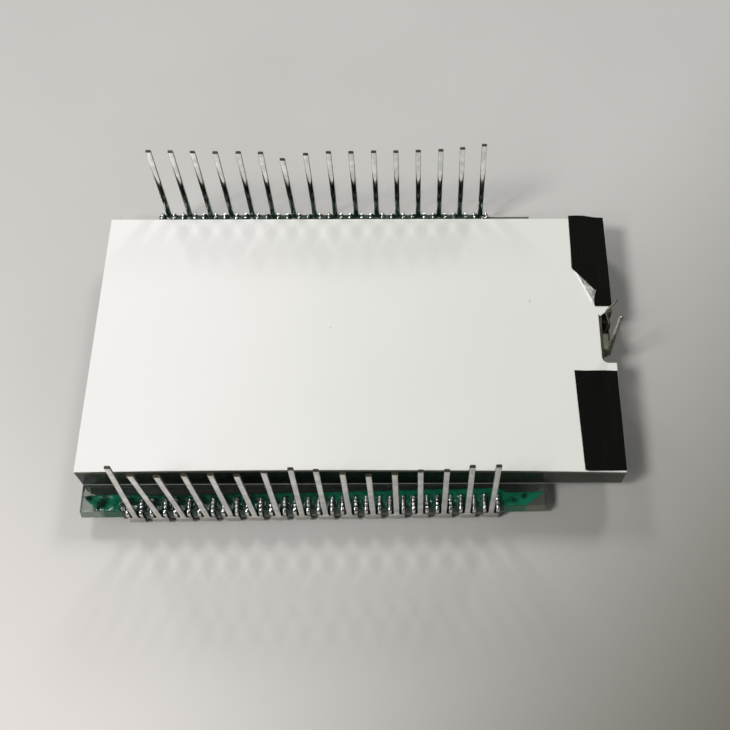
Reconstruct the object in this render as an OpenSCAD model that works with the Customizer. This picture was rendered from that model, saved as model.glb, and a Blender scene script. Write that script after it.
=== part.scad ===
// Seven segment liquid crystal display with two rows of clip-on pins and an
// edge-lit backlight. It lies face down on its front polarizer, as it was found.
// X runs along the display, Y from the near pin row to the far one, Z up and away
// from the face. The origin is the centre of the front face.

/* [Glass cell] */
// Length of both glass plates
glass_l = 50; // [44:0.5:60]
// Width of each ledge of the rear plate, past the front plate
ledge_w = 2.9; // [2.4:0.1:4]
// Thickness of each glass plate
glass_t = 1.1; // [0.7:0.1:1.5]
// How far the near edge of the rear plate leans in towards its rear face
edge_slant = 0.35; // [0:0.05:0.5]
// Gap between the plates, drawn wider than the real few micrometres
cell_gap = 0.1; // [0.08:0.01:0.2]
// Thickness of each polarizer sheet
polarizer_t = 0.2; // [0.1:0.05:0.3]
// Margin from the edge of the front plate to each polarizer
polarizer_margin = 0.5; // [0.2:0.1:1.5]
// Width of the seal round the cell
seal_w = 1.2; // [0.8:0.1:2]
// Margin from the edge of the front plate to the seal
seal_margin = 0.3; // [0.1:0.1:0.8]
// Width of the filling port in the seal
port_w = 3; // [2:0.5:5]
// How far the resin plug stands out of the filling port
plug_out = 0.5; // [0.3:0.1:0.8]

/* [Digits] */
// Height of a digit
digit_h = 17.8; // [12:0.2:20]
// Margin at each end of the row of digits
digit_margin = 1.1; // [0.4:0.1:2]
// Clear space between two digits, where the decimal point stands
point_space = 2.5; // [2:0.1:3]
// Width of a segment
segment_w = 1.5; // [1:0.1:1.8]
// Gap between neighbouring segments
segment_gap = 0.25; // [0.15:0.05:0.4]
// Lean of the digits in degrees
digit_lean = 6; // [0:1:8]
// Diameter of a decimal point
point_d = 1.4; // [1:0.1:1.6]
// Thickness of the transparent electrodes, drawn thicker than real
electrode_t = 0.02; // [0.01:0.005:0.03]

/* [Pins] */
// Distance between the two rows of pins
row_spacing = 38.1; // [37.4:0.1:42]
// Distance from one pin to the next
pin_pitch = 2.54; // [2.3:0.02:2.6]
// Thickness of the pin sheet
pin_t = 0.3; // [0.2:0.05:0.35]
// Width of a pin stem
stem_w = 0.63; // [0.4:0.01:0.8]
// Height of the pin tips above the ledge
stem_h = 12.4; // [8:0.1:16]
// Chamfer at the tip of a stem
tip_chamfer = 0.1; // [0.05:0.01:0.15]
// Width of the foot that holds the prongs
foot_w = 1.75; // [1.6:0.05:2]
// Width of each prong
prong_w = 0.42; // [0.3:0.02:0.45]
// Gap between neighbouring prongs
prong_gap = 0.2; // [0.1:0.05:0.25]
// Reach of the prongs over the ledge
prong_reach = 1.7; // [1.2:0.1:1.9]
// How far a prong springs off the glass on each side of its contact
prong_rise = 0.3; // [0.1:0.02:0.4]

/* [Epoxy] */
// How far the epoxy hangs below the ledge at the front plate
epoxy_drop = 0.75; // [0.4:0.05:0.95]
// How far the epoxy stands out from the edge of the ledge
epoxy_lip = 0.16; // [0.1:0.02:0.2]
// Distance from each end of the glass to the epoxy
epoxy_margin = 0.7; // [0.2:0.1:2]
// Length over which the epoxy narrows at each end
epoxy_taper = 4; // [2:0.5:5]
// Width that the epoxy keeps at its ends
epoxy_end_w = 0.7; // [0.4:0.1:1.2]

/* [Backlight] */
// How far the backlight stands out past the right end of the glass
light_over = 8.4; // [5:0.1:12]
// Thickness of the light guide
guide_t = 2.8; // [2:0.1:4]
// Distance from the left end of the glass to the left end of the backlight
light_inset = 0.1; // [0:0.05:1]
// Sideways slip of the backlight towards the far row
light_slip = 0.2; // [0:0.05:0.4]
// Thickness of the diffuser film
diffuser_t = 0.1; // [0.05:0.01:0.2]
// Thickness of the white reflector film
film_t = 0.1; // [0.05:0.01:0.2]
// Width of the notch for the lamp
notch_w = 6.4; // [5.4:0.1:8]
// Depth of the notch for the lamp
notch_d = 1.6; // [1.4:0.05:2.4]
// Radius in the inner corners of the notch
notch_r = 0.4; // [0.2:0.05:0.5]

/* [Tapes] */
// Width of the far tape
tape_w = 4.15; // [3:0.05:5]
// Width of the near tape
tape_near_w = 4.65; // [3:0.05:5]
// Thickness of the black tapes
tape_t = 0.08; // [0.05:0.01:0.15]
// Distance from the notch to the far tape
tape_far_gap = 0.8; // [0.5:0.1:3]
// Distance from the notch to the near tape
tape_near_gap = 1; // [0.5:0.05:3]
// How far the far tape hangs over the far edge
tape_over = 0.4; // [0.1:0.05:0.6]

/* [Film tear] */
// Length of the corner that is torn off the far tape, along the display's depth
tear_l = 5; // [4:0.1:6]
// Width of the corner that is torn off the far tape
tear_w = 2.15; // [1.5:0.05:2.6]
// Gap between the torn edge of the tape and the peeled film
tear_gap = 0.3; // [0.25:0.05:0.5]
// Width of the peeled flap of the film
flap_w = 1.3; // [0.8:0.1:1.6]
// Distance along the tear from its near end to the tip of the flap
flap_along = 1.7; // [1:0.1:2.4]
// Lift of the peeled flap in degrees
flap_lift = 25; // [18:1:50]
// Width of the corner of the film that is cut off between the far tape and the notch
film_cut = 1; // [0.5:0.1:1.3]

/* [Lamp] */
// Length of the lamp body along the notch
lamp_l = 3.4; // [3.2:0.1:3.8]
// How far the lamp sits from the middle of the notch
lamp_shift = 0.4; // [0:0.05:0.5]
// Depth of the lamp body out of the notch
lamp_d = 1.1; // [0.9:0.1:1.4]
// Height of the lamp body
lamp_h = 2.2; // [1.8:0.1:2.6]
// Thickness of the lamp leads
lead_t = 0.4; // [0.3:0.05:0.5]
// Distance between the leads
lead_pitch = 2.54; // [2:0.02:2.8]
// Height of the tall lead above the foot of the lamp
lead_tall = 9.1; // [6:0.1:11]
// Height at which the short lead is bent, above the foot of the lamp
lead_bend = 2.5; // [1.5:0.1:3]
// Length of the short lead past its bends
lead_short = 2; // [1.5:0.1:4]
// Width of the light-giving die in the lamp
die_w = 0.6; // [0.4:0.05:0.8]
// Thickness of the die
die_t = 0.2; // [0.1:0.02:0.3]

/* [Hidden] */
$fn = 48;
eps = 0.01;
pins_per_row = 16;
pin_rows = ["near", "far"];
digits = 4;
function pin_name(row, i) = str("pin_", row, i < 10 ? "_0" : "_", i);

// Heights of the layers, counted up from the surface that the face lies on
z_front = polarizer_t;
z_cell = z_front + glass_t;
z_rear = z_cell + cell_gap;
z_ledge = z_rear + glass_t;
z_light = z_ledge + polarizer_t;
z_guide = z_light + diffuser_t;
z_film = z_guide + guide_t;
z_top = z_film + film_t;

// The pin feet bear on the long edges of the rear plate
rear_d = row_spacing - pin_t;
front_d = rear_d - 2 * ledge_w;
polarizer_l = glass_l - 2 * polarizer_margin;
polarizer_d = front_d - 2 * polarizer_margin;
seal_l = glass_l - 2 * seal_margin;
seal_d = front_d - 2 * seal_margin;
inner_l = seal_l - 2 * seal_w;
inner_d = seal_d - 2 * seal_w;

// The digits share the cell between their margins
common_l = inner_l - 2 * digit_margin;
common_d = digit_h + 2 * segment_w;
digit_pitch = common_l / digits;
digit_w = digit_pitch - segment_w - point_space;

epoxy_l = glass_l - 2 * epoxy_margin;

// Backlight outline
light_left = -glass_l / 2 + light_inset;
light_right = glass_l / 2 + light_over;
light_d = front_d;
light_near = light_slip - light_d / 2;
light_far = light_slip + light_d / 2;
notch_left = light_right - notch_d;
notch_far = light_slip + notch_w / 2;
notch_near = light_slip - notch_w / 2;
tape_left = light_right - tape_w;
tape_far_start = notch_far + tape_far_gap;
tape_near_end = notch_near - tape_near_gap;

// The lamp bears on the end wall of the notch, at mid height of the light guide
lamp_y = light_slip + lamp_shift;
lamp_z = z_guide + guide_t / 2;
die_x = notch_left + lamp_d / 3;

// Bend of each stem tip in millimetres, along the row and outwards, as found
near_along = [0.14, -0.17, -0.13, -0.04, -0.04, -0.03, 0.02, 0.07,
    0, 0.05, 0.03, 0.03, 0.01, 0.04, 0, 0.04];
near_out = [-0.58, 0.24, 0.38, 0.27, 0.22, 0.34, 0, -0.3,
    -0.11, 0.2, 0.43, 0.28, 0.03, 0, -0.42, -0.45];
far_along = [0.17, 0.12, 0.05, 0.05, 0.09, 0.06, 0, 0.04, 0.05, 0.04, 0.05, 0.02, 0, 0.02, -0.06, -0.12];
far_out = [0.19, 0.13, 0.07, 0, 0, -0.06, -0.96, -0.26, 0, 0, 0.08, 0.09, 0.17, 0.28, 0.55, 1.02];

// Bend radius of the sheet, at its middle
bend_r = pin_t;
prong_steps = 10;

function unit(v) = v / norm(v);

// Outline of a strip of thickness t whose middle follows the points of path
function ribbon(path, t) =
    let (
        n = len(path),
        side = [for (i = [0:n - 1])
            let (d = unit(path[min(i + 1, n - 1)] - path[max(i - 1, 0)]))
            [-d[1], d[0]] * t / 2]
    )
    concat(
        [for (i = [0:n - 1]) path[i] + side[i]],
        [for (i = [n - 1:-1:0]) path[i] - side[i]]
    );

// Middle line of one prong: up the foot, round the bend, then over the glass in a
// wave that touches it half way. The first number runs outwards, the second up.
function prong_path() =
    let (
        top = prong_rise + pin_t / 2,
        out = pin_t / 2
    )
    concat(
        [[out, -glass_t / 2], [out, top - bend_r]],
        [for (a = [30:30:60]) [out - bend_r + bend_r * cos(a), top - bend_r + bend_r * sin(a)]],
        [for (i = [0:prong_steps])
            let (s = i / prong_steps)
            [out - bend_r - s * (prong_reach + out - bend_r),
                pin_t / 2 + prong_rise * (1 + cos(360 * s)) / 2]]
    );

// Corner points of a bar with pointed ends between a and b
function bar(a, b) =
    let (
        along = unit(b - a),
        across = [-along[1], along[0]] * segment_w / 2,
        start = a + along * segment_gap,
        end = b - along * segment_gap,
        point = along * segment_w / 2
    )
    [start, start + point + across, end - point + across, end, end - point - across, start + point - across];

// Leans a point of a digit
function leaned(p) = [p[0] + p[1] * tan(digit_lean), p[1]];

module plate(l, d, t) {
    translate([-l / 2, -d / 2, 0]) cube([l, d, t]);
}

// Lays an outline drawn as outwards and up along X, w wide and centred
module across_row(w) {
    rotate([90, 0, 90]) translate([0, 0, -w / 2]) linear_extrude(w) children();
}

module front_polarizer() {
    color([0.42, 0.45, 0.40]) plate(polarizer_l, polarizer_d, polarizer_t);
}

module front_glass() {
    color([0.80, 0.88, 0.84]) translate([0, 0, z_front]) plate(glass_l, front_d, glass_t);
}

module perimeter_seal() {
    color([0.75, 0.76, 0.70]) difference() {
        translate([0, 0, z_cell]) plate(seal_l, seal_d, cell_gap);
        translate([0, 0, z_cell - eps]) plate(inner_l, inner_d, cell_gap + 2 * eps);
        translate([inner_l / 2 - eps, -port_w / 2, z_cell - eps])
            cube([seal_w + 2 * eps, port_w, cell_gap + 2 * eps]);
    }
}

// Resin in the filling port, with a dab that laps over the ends of both plates
module fill_plug() {
    color([0.85, 0.80, 0.60]) union() {
        translate([inner_l / 2, -port_w / 2, z_cell]) cube([(glass_l - inner_l) / 2, port_w, cell_gap]);
        translate([glass_l / 2, port_w / 2, z_cell + cell_gap / 2]) rotate([90, 0, 0]) linear_extrude(port_w)
            intersection() {
                circle(plug_out);
                translate([0, -plug_out]) square(2 * plug_out);
            }
    }
}

module digit_shape(d) {
    w = digit_w / 2;
    h = (digit_h - segment_w) / 2;
    segments = [
        [[-w, h], [w, h]], [[w, h], [w, 0]], [[w, 0], [w, -h]], [[-w, -h], [w, -h]],
        [[-w, 0], [-w, -h]], [[-w, h], [-w, 0]], [[-w, 0], [w, 0]]
    ];
    // Seen from the back, the first digit is on the right
    translate([((digits + 1) / 2 - d) * digit_pitch, 0, 0]) mirror([1, 0, 0]) {
        for (s = segments) polygon([for (p = bar(s[0], s[1])) leaned(p)]);
        if (d < digits) translate(leaned([digit_pitch / 2, -h])) circle(d = point_d);
    }
}

module digit(d) {
    color([0.25, 0.27, 0.26]) translate([0, 0, z_cell]) linear_extrude(electrode_t) digit_shape(d);
}

module common_electrode() {
    color([0.70, 0.74, 0.72]) translate([0, 0, z_rear - electrode_t])
        plate(common_l, common_d, electrode_t);
}

module liquid_crystal() {
    color([0.78, 0.82, 0.74]) difference() {
        translate([0, 0, z_cell]) plate(inner_l, inner_d, cell_gap);
        translate([0, 0, z_cell - eps]) linear_extrude(electrode_t + eps)
            for (d = [1:digits]) digit_shape(d);
        translate([0, 0, z_rear - electrode_t])
            plate(common_l, common_d, electrode_t + eps);
    }
}

// The near edge is cut at a slant: its lower arris is the one that the pin feet bear on
module rear_glass() {
    color([0.80, 0.88, 0.84]) translate([0, 0, z_rear]) across_row(glass_l)
        polygon([[-rear_d / 2, 0], [rear_d / 2, 0], [rear_d / 2, glass_t],
            [edge_slant - rear_d / 2, glass_t]]);
}

module rear_polarizer() {
    color([0.55, 0.57, 0.52]) translate([0, 0, z_ledge]) plate(polarizer_l, polarizer_d, polarizer_t);
}

// Foot and three prongs, with the edge of the ledge at Y = 0 and its rear face at Z = 0
module pin_foot() {
    low = -glass_t - pin_t - prong_rise;
    for (side = [-1, 1])
        translate([side * (foot_w - prong_w) / 2, 0, 0]) across_row(prong_w)
            polygon(ribbon(prong_path(), pin_t));
    translate([0, 0, -glass_t]) mirror([0, 0, 1]) across_row(foot_w - 2 * prong_w - 2 * prong_gap)
        polygon(ribbon(prong_path(), pin_t));
    translate([-foot_w / 2, 0, low + bend_r]) cube([foot_w, pin_t, -low - bend_r]);
    translate([-stem_w / 2, 0, -glass_t / 2]) cube([stem_w, pin_t, glass_t / 2 + prong_rise + pin_t]);
}

// Stem, bent at the foot by the given distances at its tip
module pin_stem(along, out) {
    z0 = prong_rise;
    h = stem_h - z0;
    w = stem_w / 2;
    translate([0, pin_t / 2, z0]) rotate([-atan(out / h), atan(along / h), 0])
        translate([0, pin_t / 2, 0]) rotate([90, 0, 0]) linear_extrude(pin_t)
            polygon([[-w, 0], [w, 0], [w, h - tip_chamfer], [w - tip_chamfer, h],
                [tip_chamfer - w, h], [-w, h - tip_chamfer]]);
}

// Puts its children on a ledge, at the place of pin i
module on_ledge(row, i) {
    mirror([0, row == "near" ? 1 : 0, 0])
        translate([(i - (pins_per_row + 1) / 2) * pin_pitch, rear_d / 2, z_ledge]) children();
}

module pin(row, i) {
    along = row == "near" ? near_along[i - 1] : far_along[i - 1];
    out = row == "near" ? near_out[i - 1] : far_out[i - 1];
    color([0.72, 0.71, 0.68]) on_ledge(row, i) union() {
        pin_foot();
        pin_stem(along, out);
    }
}

// Section of the epoxy: it fills the corner below the ledge and laps over its edge,
// which leans in by slant
module epoxy_section(slant) {
    y_front = front_d / 2;
    y_edge = rear_d / 2;
    low = z_rear - epoxy_drop;
    polygon([[y_front, z_rear], [y_front, low], [y_front + ledge_w / 2, low],
        [y_edge + epoxy_lip, z_rear - epoxy_drop / 2], [y_edge + epoxy_lip, z_rear + glass_t / 2],
        [y_edge - slant * (1 - epoxy_lip / glass_t), z_ledge - epoxy_lip], [y_edge, z_rear]]);
}

// Outline of the epoxy seen from above, narrow at both ends
module epoxy_outline() {
    l = epoxy_l / 2;
    y_front = front_d / 2;
    y_out = rear_d / 2 + 2 * epoxy_lip;
    polygon([[-l, y_front], [l, y_front], [l, y_front + epoxy_end_w], [l - epoxy_taper, y_out],
        [epoxy_taper - l, y_out], [-l, y_front + epoxy_end_w]]);
}

module epoxy(row) {
    color([0.02, 0.35, 0.22]) difference() {
        mirror([0, row == "near" ? 1 : 0, 0]) intersection() {
            across_row(epoxy_l) epoxy_section(row == "near" ? edge_slant : 0);
            linear_extrude(z_ledge) epoxy_outline();
        }
        for (i = [1:pins_per_row]) on_ledge(row, i) {
            pin_foot();
            // Behind a foot, the corner that the slanted edge leaves stays empty
            if (row == "near") translate([-foot_w / 2, -edge_slant, -glass_t])
                cube([foot_w, edge_slant + eps, glass_t]);
        }
    }
}

// Outline of the light guide and the film, with the notch for the lamp
module light_outline() {
    difference() {
        translate([light_left, light_near]) square([light_right - light_left, light_d]);
        translate([notch_left + notch_r, notch_near]) square([notch_d, notch_w]);
        translate([notch_left, notch_near + notch_r]) square([notch_d, notch_w - 2 * notch_r]);
        for (y = [notch_near + notch_r, notch_far - notch_r])
            translate([notch_left + notch_r, y]) circle(notch_r);
    }
}

module diffuser_film() {
    color([0.90, 0.91, 0.90]) translate([0, 0, z_light]) linear_extrude(diffuser_t) light_outline();
}

module light_guide() {
    color([0.22, 0.23, 0.20]) translate([0, 0, z_guide]) linear_extrude(guide_t) light_outline();
}

// White film over the light guide. One corner at the notch is cut off, and its peeled
// flap stands up along the torn edge of the tape.
module reflector_film() {
    color([0.93, 0.93, 0.91]) union() {
        translate([0, 0, z_film]) linear_extrude(film_t) difference() {
            light_outline();
            polygon([[light_right + eps, tape_far_start], [light_right - film_cut, notch_far - eps],
                [light_right + eps, notch_far - eps]]);
        }
        translate([tape_left + tear_w, tape_far_start, z_film + film_t / 2])
            rotate([0, 0, atan(tear_w / tear_l)]) rotate([0, -flap_lift, 0]) linear_extrude(film_t)
                polygon([[0, 0], [0, norm([tear_w, tear_l])], [flap_w, flap_along]]);
    }
}

module tape_far() {
    edge = norm([tear_w, tear_l]) * tear_gap;
    far = light_far + tape_over;
    color([0.06, 0.07, 0.065]) translate([0, 0, z_top]) linear_extrude(tape_t)
        polygon([[tape_left, far], [light_right, far], [light_right, tape_far_start],
            [tape_left + tear_w + edge / tear_l, tape_far_start],
            [tape_left, tape_far_start + tear_l + edge / tear_w]]);
}

module tape_near() {
    color([0.06, 0.07, 0.065]) translate([light_right - tape_near_w, light_near, z_top])
        cube([tape_near_w, tape_near_end - light_near, tape_t]);
}

module lamp_die() {
    color([0.95, 0.85, 0.35]) translate([die_x, lamp_y - die_w / 2, lamp_z - die_w / 2])
        cube([die_t, die_w, die_w]);
}

module lamp_body() {
    color([0.80, 0.82, 0.80]) difference() {
        translate([notch_left, lamp_y - lamp_l / 2, lamp_z - lamp_h / 2]) cube([lamp_d, lamp_l, lamp_h]);
        lamp_die();
    }
}

// Square bar from a to b
module bar_between(a, b) {
    v = b - a;
    translate(a) rotate([0, acos(v[2] / norm(v)), atan2(v[1], v[0])])
        translate([-lead_t / 2, -lead_t / 2, 0]) cube([lead_t, lead_t, norm(v)]);
}

// Foot of a lead, on the back of the lamp
function lead_foot(side) =
    [notch_left + lamp_d + lead_t / 2, lamp_y + side * lead_pitch / 2, lamp_z - lamp_h / 2];

module lamp_lead_tall() {
    foot = lead_foot(-1);
    color([0.75, 0.74, 0.70]) bar_between(foot, foot + [0, 0, lead_tall]);
}

// The short lead is bent over along the notch, then out of it
module lamp_lead_short() {
    foot = lead_foot(1);
    first = foot + [0, 0, lead_bend];
    second = first + [-0.45, 1.28, 0.7];
    color([0.75, 0.74, 0.70]) union() {
        bar_between(foot, first);
        bar_between(first, second);
        bar_between(second, second + lead_short * unit([1.35, 1.12, 1]));
        translate(first) sphere(lead_t * 0.7);
        translate(second) sphere(lead_t * 0.7);
    }
}

front_polarizer();
front_glass();
perimeter_seal();
fill_plug();
liquid_crystal();
for (d = [1:digits]) digit(d);
common_electrode();
rear_glass();
rear_polarizer();
epoxy("near");  // epoxy_near
epoxy("far");  // epoxy_far
diffuser_film();
light_guide();
reflector_film();
tape_far();
tape_near();
lamp_body();
lamp_die();
lamp_lead_tall();
lamp_lead_short();
for (row = pin_rows) for (i = [1:pins_per_row])
    pin(row, i);
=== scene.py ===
"""Dresses the seven segment display: glass cell, pins, resin, backlight and lamp.

The display lies face down, so the camera sees its rear. Lengths are in metres, in the
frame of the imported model: X along the display, Y from the near pin row to the far one,
Z up from the face.
"""
import logging
import math
from dataclasses import dataclass, field
from enum import Enum
from typing import Iterable, Sequence

import bpy
import numpy as np
from mathutils import Matrix, Vector


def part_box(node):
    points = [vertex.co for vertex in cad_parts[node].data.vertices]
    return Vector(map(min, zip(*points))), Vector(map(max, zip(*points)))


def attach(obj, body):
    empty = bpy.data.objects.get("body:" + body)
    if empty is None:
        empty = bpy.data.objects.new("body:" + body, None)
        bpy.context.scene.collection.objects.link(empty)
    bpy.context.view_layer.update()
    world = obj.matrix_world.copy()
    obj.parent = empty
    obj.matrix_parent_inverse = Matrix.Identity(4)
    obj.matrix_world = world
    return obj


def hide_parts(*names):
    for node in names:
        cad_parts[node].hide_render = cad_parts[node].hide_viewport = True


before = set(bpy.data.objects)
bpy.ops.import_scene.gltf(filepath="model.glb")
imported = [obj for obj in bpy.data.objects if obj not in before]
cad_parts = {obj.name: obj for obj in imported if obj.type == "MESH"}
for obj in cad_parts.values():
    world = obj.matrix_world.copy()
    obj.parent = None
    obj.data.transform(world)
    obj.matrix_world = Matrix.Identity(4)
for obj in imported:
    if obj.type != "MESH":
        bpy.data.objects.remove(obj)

MM = 0.001
BODY = "root"

# Sizes that the pins, the resin over them and the glass share.
PITCH = 2.54 * MM
METAL = 0.3 * MM
PRONG_REACH = 1.65 * MM
WAVE = 0.14 * MM
WAVES = 3.0
EDGE_SLANT = 0.35 * MM

LOG = logging.getLogger("display")
Triple = tuple[float, float, float]
Colour = Triple
Rows = np.ndarray
ALONG_ROW = np.array([1.0, 0.0, 0.0])


class Row(Enum):
    """The two rows of pins, with the side of the display that each is on."""

    NEAR = -1
    FAR = 1


def corners(node: str) -> tuple[Rows, Rows]:
    """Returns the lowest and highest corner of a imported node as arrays."""
    low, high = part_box(node)
    return np.array(low), np.array(high)


def srgb(red: int, green: int, blue: int) -> Colour:
    """Turns a colour in everyday 0 to 255 steps into linear light.

    Args:
        red, green, blue: the three channels, from 0 to 255.

    Returns:
        The same colour with the gamma curve undone.
    """
    steps = np.array([red, green, blue]) / 255
    linear = np.where(steps <= 0.04045, steps / 12.92, ((steps + 0.055) / 1.055) ** 2.4)
    return tuple(float(c) for c in linear)


class Signal:
    """A shader socket that can be used in arithmetic, one Math node for each operation."""

    def __init__(self, sheet: "Sheet", socket: bpy.types.NodeSocket) -> None:
        """Wraps a socket of a sheet's node tree."""
        self.sheet = sheet
        self.socket = socket

    def _math(self, operation: str, *values: object) -> "Signal":
        """Adds one Math node and returns its output."""
        inputs = dict(enumerate(values))
        return self.sheet.node("ShaderNodeMath", {"operation": operation}, inputs).out(0)

    def __add__(self, other: object) -> "Signal":
        """Adds a number or a signal."""
        return self._math("ADD", self, other)

    __radd__ = __add__

    def __mul__(self, other: object) -> "Signal":
        """Multiplies by a number or a signal."""
        return self._math("MULTIPLY", self, other)

    __rmul__ = __mul__

    def __sub__(self, other: object) -> "Signal":
        """Takes away a number or a signal."""
        return self._math("SUBTRACT", self, other)

    def __rsub__(self, other: object) -> "Signal":
        """Takes this signal away from a number."""
        return self._math("SUBTRACT", other, self)

    def above(self, edge: float, soft: float) -> "Signal":
        """Rises from 0 to 1 as the signal passes an edge.

        Args:
            edge: the value at the middle of the rise.
            soft: half the width of the rise.

        Returns:
            A mask from 0 to 1.
        """
        settings = {"interpolation_type": "SMOOTHSTEP"}
        values = {0: self, 1: edge - soft, 2: edge + soft, 3: 0.0, 4: 1.0}
        return self.sheet.node("ShaderNodeMapRange", settings, values).out(0)

    def below(self, edge: float, soft: float) -> "Signal":
        """Falls from 1 to 0 as the signal passes an edge."""
        return 1 - self.above(edge, soft)


class Made:
    """A node that a sheet has made, with its outputs at hand."""

    def __init__(self, sheet: "Sheet", node: bpy.types.Node) -> None:
        """Keeps the node and the sheet that it is on."""
        self.sheet = sheet
        self.node = node

    def out(self, key: int | str) -> Signal:
        """Returns one of the node's outputs as a signal."""
        return Signal(self.sheet, self.node.outputs[key])


class Sheet:
    """The node tree of one material or of the world, built up node by node."""

    def __init__(self, name: str, world: bool = False) -> None:
        """Starts an empty tree with an output node."""
        self.owner = bpy.data.worlds.new(name) if world else bpy.data.materials.new(name)
        self.owner.use_nodes = True
        self.tree = self.owner.node_tree
        self.tree.nodes.clear()
        self.output = self.tree.nodes.new("ShaderNodeOutput" + ("World" if world else "Material"))

    def node(self, kind: str, settings: dict[str, object],
             inputs: dict[int | str, object]) -> Made:
        """Makes one node, sets its options and fills its sockets.

        Args:
            kind: the node's type name.
            settings: options such as a Math node's operation.
            inputs: values, signals or colours, by socket name or number.

        Returns:
            The node that was made.
        """
        node = self.tree.nodes.new(kind)
        for key, value in settings.items():
            setattr(node, key, value)
        for key, value in inputs.items():
            if isinstance(value, Signal):
                self.tree.links.new(value.socket, node.inputs[key])
            elif isinstance(value, tuple) and len(value) == 3 and node.inputs[key].type == "RGBA":
                node.inputs[key].default_value = (*value, 1.0)
            else:
                node.inputs[key].default_value = value
        return Made(self, node)

    def painted(self, name: str) -> Signal:
        """Returns a number that is painted on the piece's own points."""
        settings = {"attribute_type": "GEOMETRY", "attribute_name": name}
        return self.node("ShaderNodeAttribute", settings, {}).out("Fac")

    def place(self) -> Signal:
        """Returns the object's own coordinates, in metres."""
        return self.node("ShaderNodeTexCoord", {}, {}).out("Object")

    def axis(self, name: str) -> Signal:
        """Returns one of the object's own coordinates, X, Y or Z, in metres."""
        return self.node("ShaderNodeSeparateXYZ", {}, {"Vector": self.place()}).out(name)

    def stretched(self, factors: Triple) -> Signal:
        """Returns object coordinates multiplied by a factor on each axis."""
        inputs = {"Vector": self.place(), "Scale": factors}
        return self.node("ShaderNodeMapping", {}, inputs).out(0)

    def noise(self, size: float, detail: float = 3.0, stretch: Triple = (1, 1, 1)) -> Signal:
        """Returns a noise from 0 to 1.

        Args:
            size: the width of its blotches in metres.
            detail: how many finer layers it has.
            stretch: factors on each axis, for grain that runs one way.

        Returns:
            The noise's value.
        """
        inputs = {"Vector": self.stretched(stretch), "Scale": 1 / size, "Detail": detail}
        return self.node("ShaderNodeTexNoise", {}, inputs).out("Fac")

    def mix(self, mask: Signal, first: object, second: object) -> Signal:
        """Mixes two colours by a mask: the first where it is 0, the second where it is 1."""
        inputs = {0: mask, 6: first, 7: second}
        return self.node("ShaderNodeMix", {"data_type": "RGBA"}, inputs).out(2)

    def blend(self, mask: Signal, first: Made, second: Made) -> Made:
        """Blends two shaders by a mask: the first where it is 0, the second where it is 1."""
        inputs = {0: mask, 1: first.out(0), 2: second.out(0)}
        return self.node("ShaderNodeMixShader", {}, inputs)

    def shader(self, inputs: dict[int | str, object]) -> Made:
        """Returns a Principled shader."""
        return self.node("ShaderNodeBsdfPrincipled", {}, inputs)

    def bump(self, height: Signal, depth: float, strength: float = 1.0) -> Signal:
        """Returns a normal that is tilted by a height signal of the given depth in metres."""
        inputs = {"Height": height, "Distance": depth, "Strength": strength}
        return self.node("ShaderNodeBump", {}, inputs).out(0)

    def principled(self, inputs: dict[int | str, object]) -> bpy.types.Material:
        """Ends the sheet in a Principled shader and returns the material."""
        return self.finish(self.shader(inputs))

    def finish(self, shader: Made) -> bpy.types.Material:
        """Ends the sheet in a shader and returns the material."""
        self.tree.links.new(shader.node.outputs[0], self.output.inputs["Surface"])
        return self.owner


@dataclass(frozen=True)
class TinFinish:
    """Bright tin plating on sheet, with fine drawing marks and soft clouds, and a darker grey foot
    that is painted shade.
    """

    name: str = "tinned_sheet"
    bright: Colour = srgb(238, 238, 235)
    dull: Colour = srgb(208, 208, 205)
    foot_shade: Colour = srgb(186, 184, 178)
    foot_top: float = 1.72 * MM
    gloss: float = 0.07
    cloud: float = 1.1 * MM
    mark: float = 0.09 * MM

    def build(self) -> bpy.types.Material:
        """Returns the material."""
        sheet = Sheet(self.name)
        cloud = sheet.noise(self.cloud, 4)
        marks = sheet.noise(self.mark, 2, (1.0, 1.0, 0.06))
        mask = cloud.above(0.52, 0.14)
        # Below the foot's top the tin turns a darker grey: painted shade and dark reflection on the
        # low feet.
        foot = sheet.axis("Z").below(self.foot_top, 0.12 * MM)
        return sheet.principled({
            "Base Color": sheet.mix(foot, sheet.mix(mask, self.dull, self.bright), self.foot_shade),
            "Metallic": 1.0,
            "Roughness": self.gloss + 0.05 * (1 - mask) + 0.05 * marks + 0.36 * foot,
            "Normal": sheet.bump(cloud * 0.6 + marks * 0.4, 0.006 * MM, 0.4),
        })


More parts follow.
